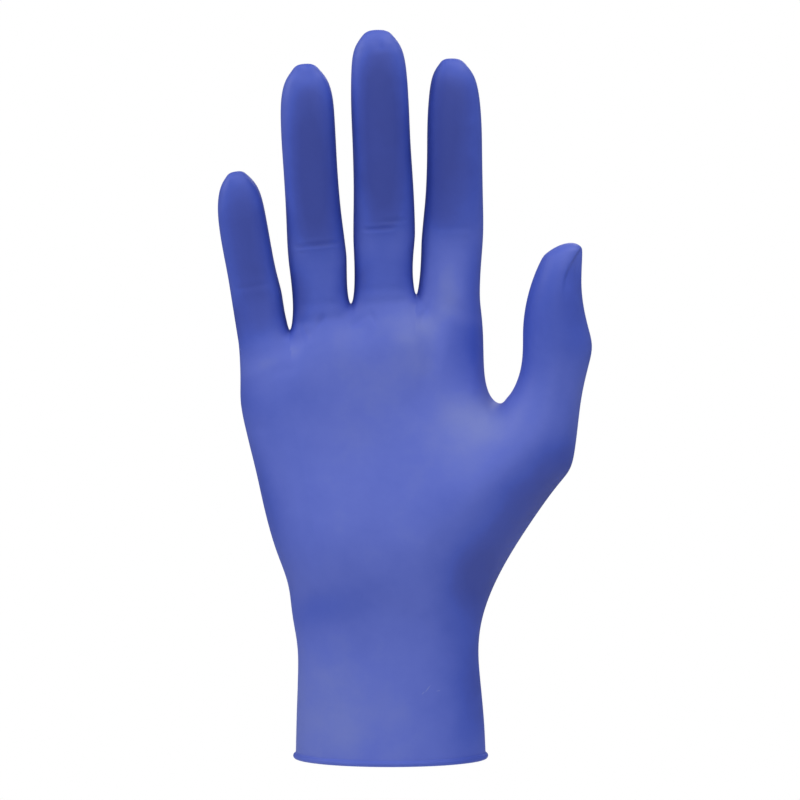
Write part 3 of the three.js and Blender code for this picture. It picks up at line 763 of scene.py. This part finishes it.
def round_the_roots(rings):
    """The point numbers round all the fingers' roots: along the front, and back along the back."""
    back = FRONT_FACES + SIDE_FACES
    return np.concatenate(
        [ring[: FRONT_FACES + 1] for ring in rings]
        + [rings[-1][FRONT_FACES + 1: back]]
        + [ring[back: back + FRONT_FACES + 1] for ring in rings[::-1]]
        + [rings[0][back + FRONT_FACES + 1:]]
    )


def add_palm(cage, top):
    """Adds the cuff, wrist and palm up to the fingers' roots, with a gap where the thumb joins them.

    Up to the crotch the rows are level sections. Above it they rise to the roots, and turn into their
    outline by the square of the share of the way. Returns the rings of point numbers round the cuff
    and round the gap, and how many columns the gap takes.
    """
    angles = column_angles(cage, top)
    root_bottom = CROTCH - THUMB["root"]
    levels = np.concatenate([
        [BEAD_DIAMETER, BEAD_DIAMETER + BEAD_NECK],
        np.linspace(BEAD_DIAMETER + 3 * BEAD_NECK, root_bottom, WRIST_ROWS - 2, endpoint=False),
        np.linspace(root_bottom, CROTCH, ROOT_ROWS + 1),
    ])
    level_points = palm_points(angles[None], levels[:, None])
    share = (np.arange(1, KNUCKLE_ROWS) / KNUCKLE_ROWS)[:, None]
    crown = cage.points[top]
    rising = palm_points(angles[None], CROTCH + (crown[:, 2] - CROTCH) * share)
    rising += (crown - rising) * share[..., None] ** 2
    palm = np.vstack([cage.add(level_points), cage.add(rising), top[None]])

    front_count = len(FINGERS) * (FRONT_FACES + 1)
    first = front_count - 1 - ROOT_MARGIN_FACES
    last = front_count + SIDE_FACES - 1 + ROOT_MARGIN_FACES
    bottom, crown_row = WRIST_ROWS, WRIST_ROWS + ROOT_ROWS
    keep = np.ones((len(palm) - 1, len(top)), bool)
    keep[bottom:crown_row, first:last] = False
    cage.sheet(np.column_stack([palm, palm[:, :1]]), keep)
    gap = np.concatenate([
        palm[bottom + 1: crown_row + 1, first][::-1],
        palm[bottom, first:last],
        palm[bottom:crown_row, last],
        palm[crown_row, first + 1: last + 1][::-1],
    ])
    return palm[0], gap, last - first


def glove_cage():
    """The coarse cage of the glove's outside, and the ring of points at the cuff."""
    cage = Cage()
    rings = add_fingers(cage)
    webs = add_webs(cage, rings)
    cuff, thumb_root, root_columns = add_palm(cage, round_the_roots(rings))
    tube_to_tip(cage, thumb_root, thumb_section, np.array(THUMB_ROWS), ROOT_ROWS, root_columns, 1)
    cage.relax(thumb_root, *THUMB_JOIN)
    for web, sink in zip(webs, WEB_SINK):
        cage.relax(web, *WEB_JOIN)
        cage.points[web, 2] -= sink
    swell(cage)
    return cage, cuff


def swell(cage):
    """Pushes the palm's front forward by each swelling, a bell curve over it."""
    facing = ease(-cage.normals()[:, 1], *SWELLING_FACING)
    for middle, up, length, breadth, push, turn in SWELLINGS.values():
        length, breadth = length * SWELLING["reach"], breadth * SWELLING["reach"]
        push = facing * push * SWELLING["height"]
        cage.points[:, 1] -= push * bell(cage.points, middle, up, length, breadth, turn)


def add_bead(cage, cuff):
    """Rolls the cuff's edge outwards and under: a circle's arc of three quarters of a turn."""
    outward = unit(cage.normals()[cuff] * [1, 1, 0])
    radius = BEAD_DIAMETER / 2
    angle = math.pi / 2 - 1.5 * math.pi * np.arange(1, BEAD_FACES + 1)[:, None, None] / BEAD_FACES
    block = cage.points[cuff] + outward * (radius - WALL + radius * np.cos(angle))
    block[..., 2] = (radius * (1 + np.sin(angle)))[..., 0]
    inside = cage.points[cuff] - outward * WALL
    inside = np.stack([inside + [0, 0, rise] for rise in (0, BEAD_LAP)])
    rings = np.vstack([cuff[None], cage.add(block), cage.add(inside)])
    cage.tube(rings[::-1])


def on_finger(name, points):
    """How far points are along a finger and across it, in shares of its length and its width.

    They are the parts of the vector from its base along its lean and square to it, seen from the
    front, so its forward curl doesn't count.
    """
    finger = finger_frame(name)
    from_base = points - finger["base"]
    return from_base @ finger["up"] / finger["length"], from_base @ finger["side"] / finger["width"]


def nearest_finger(points):
    """The number of the finger whose middle line each point is nearest to."""
    aside = [np.abs(on_finger(name, points)[1]) for name in FINGERS]
    return np.argmin(aside, axis=0)


def crease(along, across, length, row):
    """The height of the film over one crease: a groove between two low rolls, faded out at its ends.

    It is minus the depth times a bell curve over the distance up from the groove's middle, plus the
    same curve at the roll's place above it and below it, times the roll's height.
    """
    shape = dict(zip(CREASE_COLUMNS, row))
    up = (along - shape["at"] - shape["rise"] * across) * length
    ends = ease(across, shape["left"] - CREASE_FADE, shape["left"] + CREASE_FADE)
    ends = ends * (1 - ease(across, shape["right"] - CREASE_FADE, shape["right"] + CREASE_FADE))
    groove = np.exp(-((up / shape["wide"]) ** 2))
    rolls = np.exp(-((np.abs(up / shape["wide"]) - CREASE_ROLL["place"]) ** 2))
    return shape["deep"] * ends * (CREASE_ROLL["height"] * rolls - groove)


def film_relief(points, normals):
    """How far the film stands out along its normals, in millimetres, for its creases and bumps."""
    height = np.zeros(len(points))
    palm_side = ease(-normals[:, 1], *CREASE_FACING)
    back_side = ease(normals[:, 1], *CREASE_FACING)
    nearest = nearest_finger(points)
    for number, name in enumerate(FINGERS):
        length, width = finger_frame(name)["length"], finger_frame(name)["width"]
        along, across = on_finger(name, points)
        here = (nearest == number) & (points[:, 2] > CROTCH) & (np.abs(across) < CREASES_END)
        front = sum(crease(along, across, length, row) for row in CREASES[name])
        back = sum(crease(along, across, length, row) for row in BACK_WRINKLES)
        for at, aside, radius, push in PUCKERS[name]:
            far = ((along - at) * length) ** 2 + ((across - aside) * width) ** 2
            front = front + push * np.exp(-far / radius**2)
        at, half, reach, push = KNUCKLE
        far = (across * width / half) ** 2 + ((along - at) * length / reach) ** 2
        back = back + push * np.exp(-far)
        at, half, reach, push = NAIL
        far = (across * width / half) ** 4 + ((along - at) * length / reach) ** 4
        back = back + push * (1 - ease(far, *NAIL_RIM))
        height += here * (palm_side * front + back_side * back)

    up = (points[:, 2] - CROTCH) / THUMB["rise"]
    nail_edge = curves_through(NAIL_EDGE_COLUMNS, NAIL_EDGE)(up)["out"]
    out = points[:, 0] - knuckle_edge() - nail_edge * THUMB["reach"]
    outside = ease(out, 0, NAIL_EDGE_STEP["width"]) * ease(up, *NAIL_EDGE_STEP["starts"])
    height -= palm_side * NAIL_EDGE_STEP["depth"] * outside * (1 - ease(up, *NAIL_EDGE_STEP["ends"]))

    for middle, up, reach, turn, wide, deep in FOLDS:
        run, side = from_place(points, middle, up, turn)
        height -= palm_side * deep * np.exp(-((run / reach) ** 4) - (side / wide) ** 2)
    return height


def from_place(points, middle, up, turn):
    """How far points are from a place on the front, along its turn and square to it.

    The place is across in shares of the knuckles' half width and up in shares of the web's height.
    """
    right = points[:, 0] - KNUCKLE_CENTRE - middle * knuckle_width() / 2
    above = points[:, 2] - up * WEB_HEIGHT
    cos, sin = math.cos(math.radians(turn)), math.sin(math.radians(turn))
    return right * cos + above * sin, above * cos - right * sin


def bell(points, middle, up, length, breadth, turn):
    """A bell curve over the front: 1 at its middle, and 1/e at its length and breadth from there."""
    run, side = from_place(points, middle, up, turn)
    return np.exp(-((run / length) ** 2) - (side / breadth) ** 2)


def finger_pull_and_painted_light(name, along, across):
    """How much one finger's film pales, by its pull and by painted light and shade: its table, then its
    patches, then its two sides.

    A patch adds a bell curve over its reaches. A side grows from the middle line to the edge.
    """
    finger = finger_frame(name)
    pale_and_painted_light = curves_through(PULL_AND_LIGHT_COLUMNS, FINGER_PULL_AND_SHADE[name])(along)["pull"]
    for at, aside, reach, half, pull in PATCH_PAINTED_LIGHT_AND_SHADE[name]:
        run, side = (along - at) * finger["length"], (across - aside) * finger["width"]
        pale_and_painted_light += pull * np.exp(-((run / reach) ** 2 + (side / half) ** 2))
    low_left, low_right, left, right = EDGE_PAINTED_LIGHT[name]
    on_left, on_right = ease(-across, *EDGE_SIDES["left"]), ease(across, *EDGE_SIDES["right"])
    upper = ease(along, *EDGE_CHANGE)
    pale_and_painted_light += (left * on_left + right * on_right) * upper * np.maximum(0, EDGE_FULL - pale_and_painted_light)
    lower = (1 - upper) * ease(along, *EDGE_START)
    return pale_and_painted_light + (low_left * on_left + low_right * on_right) * lower


def film_pull_and_painted_light(points):
    """How much the film pales over the hand, as a share of the most: by its pull, and by painted light
    and painted shade.

    The palm's paling with its places turns into the thumb's beyond the palm's edge, and into that of
    the nearest finger between the first row of its table and a quarter of that row's place.
    """
    thumb = curves_through(PULL_AND_LIGHT_COLUMNS, THUMB_PULL_AND_SHADE)((points[:, 2] - CROTCH) / THUMB["rise"])["pull"]
    pale_and_painted_light = np.full(len(points), PALM_PULL_AND_SHEEN)
    for middle, up, length, breadth, turn, pull in PAINTED_LIGHT_PLACES.values():
        pale_and_painted_light += pull * bell(points, middle, up, length, breadth, turn)
    on_thumb = ease(points[:, 0] - knuckle_edge(), *THUMB_OUT) * ease(points[:, 2] / CROTCH, *THUMB_UP)
    pale_and_painted_light += (thumb - pale_and_painted_light) * on_thumb
    nearest = nearest_finger(points)
    for number, name in enumerate(FINGERS):
        along, across = on_finger(name, points)
        first = FINGER_PULL_AND_SHADE[name][0][0]
        here = (nearest == number) * ease(along, first, first / 4) * (across < EDGE_END)
        pale_and_painted_light += (finger_pull_and_painted_light(name, along, across) - pale_and_painted_light) * here
    pale_and_painted_light -= ROLLED * (1 - ease(points[:, 2], 0.8 * BEAD_DIAMETER, BEAD_DIAMETER + BEAD_NECK))
    return np.clip(pale_and_painted_light / MOST_PULL_AND_LIGHT, 0, 1)


def mesh_object(name, points, faces, levels):
    """An object from points in millimetres and faces, rounded off by a subdivision surface."""
    used, faces = np.unique(faces, return_inverse=True)
    mesh = bpy.data.meshes.new(name)
    mesh.from_pydata((points[used] * MM).tolist(), [], faces.reshape(-1, 4).tolist())
    piece = bpy.data.objects.new(name, mesh)
    bpy.context.scene.collection.objects.link(piece)
    rounding = piece.modifiers.new("rounding", "SUBSURF")
    rounding.levels = rounding.render_levels = levels
    fine = bpy.data.meshes.new_from_object(piece.evaluated_get(bpy.context.evaluated_depsgraph_get()))
    piece.modifiers.clear()
    piece.data = fine
    bpy.data.meshes.remove(mesh)
    fine.name = name
    fine.shade_smooth()
    return piece


def read_points(mesh, what="co"):
    """The places, or the normals, of a mesh's points as one array."""
    found = np.zeros(len(mesh.vertices) * 3)
    mesh.vertices.foreach_get(what, found)
    return found.reshape(-1, 3)


def press_relief(mesh):
    """Presses the film's creases and bumps into the fine mesh, along its normals."""
    points = read_points(mesh) / MM
    height = film_relief(points, read_points(mesh, "normal"))
    points += read_points(mesh, "normal") * height[:, None]
    mesh.vertices.foreach_set("co", (points * MM).ravel())
    mesh.update()


def keep_pull_and_painted_light(mesh):
    """Keeps a value at each of the mesh's points by which the film pales: its pull, with painted light
    and painted shade.
    """
    pale_and_painted_light = mesh.attributes.new("pale_and_painted_light", "FLOAT", "POINT")
    pale_and_painted_light.data.foreach_set("value", film_pull_and_painted_light(read_points(mesh) / MM))


def colour(code):
    """A linear colour from an sRGB hex value."""
    shares = np.array([int(code[i: i + 2], 16) for i in (0, 2, 4)]) / 255
    linear = np.where(shares <= 0.04045, shares / 12.92, ((shares + 0.055) / 1.055) ** 2.4)
    return (*linear.tolist(), 1)


def node(tree, kind, settings=None, **inputs):
    """Adds a node with its settings and inputs, each a value or an output to link."""
    made = tree.nodes.new(kind)
    for key, value in (settings or {}).items():
        setattr(made, key, value)
    sockets = {socket.identifier.replace(" ", "_"): socket for socket in made.inputs}
    for key, value in inputs.items():
        if isinstance(value, bpy.types.NodeSocket):
            tree.links.new(value, sockets[key])
        else:
            sockets[key].default_value = value
    return made


def nitrile_film():
    """Nitrile rubber, dipped on a smooth former and dyed through.

    To the eye it is a thin satin film with no weave: soft wide highlights, a faint mottle from the
    dip, a paler blue where the hand pulls it thin, painted light and painted shade in its colour, and a
    few light scratches.
    """
    material = bpy.data.materials.new("dipped nitrile film")
    material.use_nodes = True
    tree = material.node_tree
    tree.nodes.clear()
    place = node(tree, "ShaderNodeTexCoord").outputs["Object"]
    # The value read here pales the film where the hand pulls it thin, and also holds painted light and
    # painted shade.
    pale_and_painted_light = node(tree, "ShaderNodeAttribute", {"attribute_name": "pale_and_painted_light"})
    cloud = node(
        tree,
        "ShaderNodeTexNoise",
        Vector=place,
        Scale=1 / (MOTTLE * MM),
        Detail=4.0,
        Roughness=0.55,
    )
    scaled, add = {"operation": "MULTIPLY_ADD"}, {"operation": "ADD"}
    mottle = node(
        tree,
        "ShaderNodeMath",
        scaled,
        Value=cloud.outputs[0],
        Value_001=MOTTLE_SHIFT,
        Value_002=-MOTTLE_SHIFT / 2,
    )
    shade = node(tree, "ShaderNodeMath", add, Value=pale_and_painted_light.outputs["Fac"], Value_001=mottle.outputs[0])
    for middle, up, half, wide, turn in SCRATCHES:
        across = KNUCKLE_CENTRE + middle * knuckle_width() / 2
        centre = Vector((across, -CUFF["front"], up * WEB_HEIGHT)) * MM
        mark = node(
            tree,
            "ShaderNodeMapping",
            {"vector_type": "TEXTURE"},
            Vector=place,
            Location=centre,
            Rotation=(0, -math.radians(turn), 0),
            Scale=(half * MM, CUFF["front"] * MM, wide * MM),
        )
        far = node(tree, "ShaderNodeVectorMath", {"operation": "LENGTH"}, Vector=mark.outputs[0])
        light = node(
            tree,
            "ShaderNodeMapRange",
            Value=far.outputs["Value"],
            From_Min=SCRATCH["solid"],
            From_Max=1.0,
            To_Min=SCRATCH["shift"],
            To_Max=0.0,
        )
        shade = node(tree, "ShaderNodeMath", add, Value=shade.outputs[0], Value_001=light.outputs[0])
    # This ramp gives the dye's colour, and also paints light and shade into the film from that value.
    dye_and_painted_light = node(tree, "ShaderNodeValToRGB", Fac=shade.outputs[0])
    for number, (share, code) in enumerate(NITRILE_WITH_PAINTED_LIGHT):
        stop = dye_and_painted_light.color_ramp.elements[number] if number in (0, 1) else dye_and_painted_light.color_ramp.elements.new(share)
        stop.position = share
        stop.color = colour(code)
    rough = node(
        tree,
        "ShaderNodeMath",
        scaled,
        Value=cloud.outputs[0],
        Value_001=ROUGHNESS["mottle"],
        Value_002=ROUGHNESS["least"],
    )
    slack = node(
        tree,
        "ShaderNodeTexNoise",
        Vector=place,
        Scale=1 / (SLACK_WAVE * MM),
        Detail=2.0,
        Roughness=0.5,
    )
    waves = node(tree, "ShaderNodeBump", Strength=0.5, Distance=0.2 * MM, Height=slack.outputs[0])
    grain = node(
        tree,
        "ShaderNodeTexNoise",
        Vector=place,
        Scale=1 / (GRAIN * MM),
        Detail=3.0,
        Roughness=0.6,
    )
    fine, waved = grain.outputs[0], waves.outputs[0]
    relief = node(tree, "ShaderNodeBump", Strength=0.3, Distance=0.05 * MM, Height=fine, Normal=waved)
    shader = node(
        tree,
        "ShaderNodeBsdfPrincipled",
        Base_Color=dye_and_painted_light.outputs[0],
        Roughness=rough.outputs[0],
        IOR=1.5,
        Normal=relief.outputs[0],
    )
    node(tree, "ShaderNodeOutputMaterial", Surface=shader.outputs[0])
    return material


def studio_floor():
    """A board painted matt white below the glove, which gives a soft pale ground with no shine."""
    material = bpy.data.materials.new("white matt board")
    material.use_nodes = True
    tree = material.node_tree
    tree.nodes.clear()
    shader = node(tree, "ShaderNodeBsdfPrincipled", Base_Color=colour(FLOOR_WHITE), Roughness=0.9)
    node(tree, "ShaderNodeOutputMaterial", Surface=shader.outputs[0])
    across, along = np.meshgrid([FLOOR["left"], FLOOR["right"]], [FLOOR["front"], FLOOR["back"]])
    corners = np.stack([across, along, np.full((2, 2), FLOOR["height"])], axis=-1).reshape(-1, 3)
    floor = mesh_object("floor", corners, np.array([[0, 1, 3, 2]]), 0)
    floor.data.materials.append(material)


def softbox(name, turn, rise, watts):
    """A square lamp that faces the middle of the glove from a turn and a rise in degrees."""
    lamp = bpy.data.lights.new(name, "AREA")
    lamp.shape = "SQUARE"
    lamp.size = LAMP_SIZE * MM
    lamp.energy = watts
    holder = bpy.data.objects.new(name, lamp)
    bpy.context.scene.collection.objects.link(holder)
    turn, rise = math.radians(turn), math.radians(rise)
    away = Vector((math.sin(turn) * math.cos(rise), -math.cos(turn) * math.cos(rise), math.sin(rise)))
    holder.location = (Vector((0, 0, LAMP_AIM)) + LAMP_DISTANCE * away) * MM
    holder.rotation_euler = (-away).to_track_quat("-Z", "Y").to_euler()


def studio():
    """The white background, the floor, the lamps and the camera."""
    scene = bpy.context.scene
    scene.view_settings.view_transform = "Standard"
    world = bpy.data.worlds.new("studio")
    scene.world = world
    world.use_nodes = True
    tree = world.node_tree
    tree.nodes.clear()
    seen = node(tree, "ShaderNodeBackground", Color=(1, 1, 1, 1), Strength=1.0)
    direction = node(tree, "ShaderNodeTexCoord").outputs["Generated"]
    towards = node(tree, "ShaderNodeSeparateXYZ", Vector=direction)
    walls = node(
        tree,
        "ShaderNodeMapRange",
        Value=towards.outputs["Y"],
        From_Min=WALL_CHANGE[0],
        From_Max=WALL_CHANGE[1],
        To_Min=FRONT_WALL,
        To_Max=BACK_WALL,
    )
    fill = node(tree, "ShaderNodeBackground", Color=(1, 1, 1, 1), Strength=walls.outputs[0])
    in_view = node(tree, "ShaderNodeLightPath").outputs["Is Camera Ray"]
    mixed = node(
        tree,
        "ShaderNodeMixShader",
        Fac=in_view,
        Shader=fill.outputs[0],
        Shader_001=seen.outputs[0],
    )
    node(tree, "ShaderNodeOutputWorld", Surface=mixed.outputs[0])

    for name, (turn, rise, watts) in LAMPS.items():
        softbox(name, turn, rise, watts)
    studio_floor()

    camera = bpy.data.cameras.new("camera")
    camera.sensor_width = CAMERA["sensor"]
    camera.lens = CAMERA["lens"]
    camera.clip_start = CAMERA["nearest"] * MM
    holder = bpy.data.objects.new("camera", camera)
    scene.collection.objects.link(holder)
    holder.location = Vector(CAMERA["place"]) * MM
    holder.rotation_euler = (math.pi / 2, 0, 0)
    scene.camera = holder


studio()
outside, cuff = glove_cage()
lining_points = outside.points - WALL * outside.normals()
lining_faces = outside.faces[:, ::-1]
add_bead(outside, cuff)
film = nitrile_film()
glove = mesh_object("glove_film", outside.points, outside.faces, SMOOTHING_LEVELS)
press_relief(glove.data)
lining = mesh_object("glove_lining", lining_points, lining_faces, LINING_LEVELS)
for piece in (glove, lining):
    keep_pull_and_painted_light(piece.data)
    piece.data.materials.clear()
    piece.data.materials.append(film)
    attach(piece, "root")
    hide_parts("glove")
